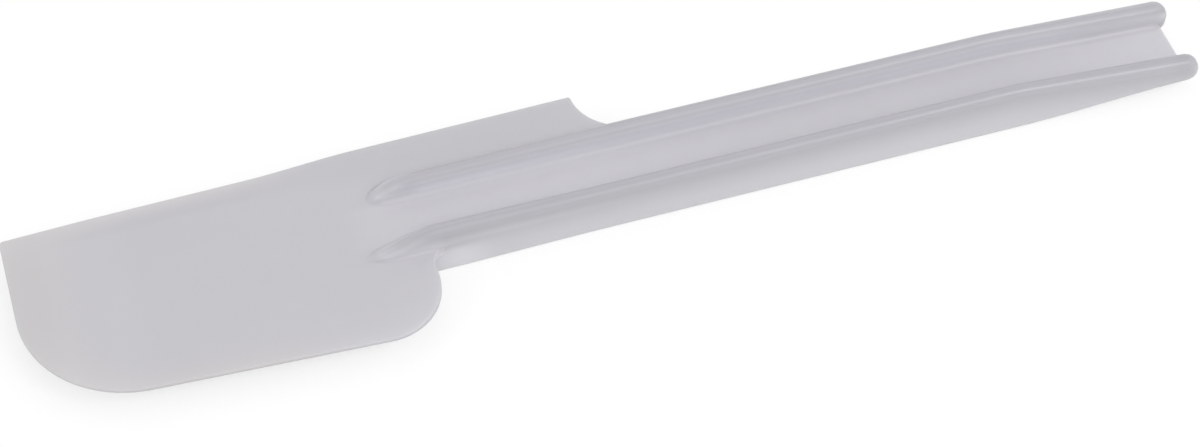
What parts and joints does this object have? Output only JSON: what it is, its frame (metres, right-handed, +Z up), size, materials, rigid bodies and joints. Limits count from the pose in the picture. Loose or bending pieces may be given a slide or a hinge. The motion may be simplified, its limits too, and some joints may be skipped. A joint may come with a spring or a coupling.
{
  "type": "mixer spatula",
  "caption": "Stiff one-piece bowl spatula with a broad blade, one straight and one rounded edge, and a channelled H-section grip.",
  "frame": {"origin": "bottom centre of the bounding box, on the surface that the undersides of the grip's two rails rest on", "axes": "+X from the blade's tip towards the end of the grip, +Y towards the blade's straight edge, +Z up out of the blade's upper face"},
  "size_m": [0.272, 0.0532, 0.0125],
  "materials": {
    "milky_plastic": "satin, milky natural polypropylene, slightly translucent"
  },
  "bodies": {
    "root": {"spatula_moulding": "milky_plastic"}
  },
  "joints": []
}
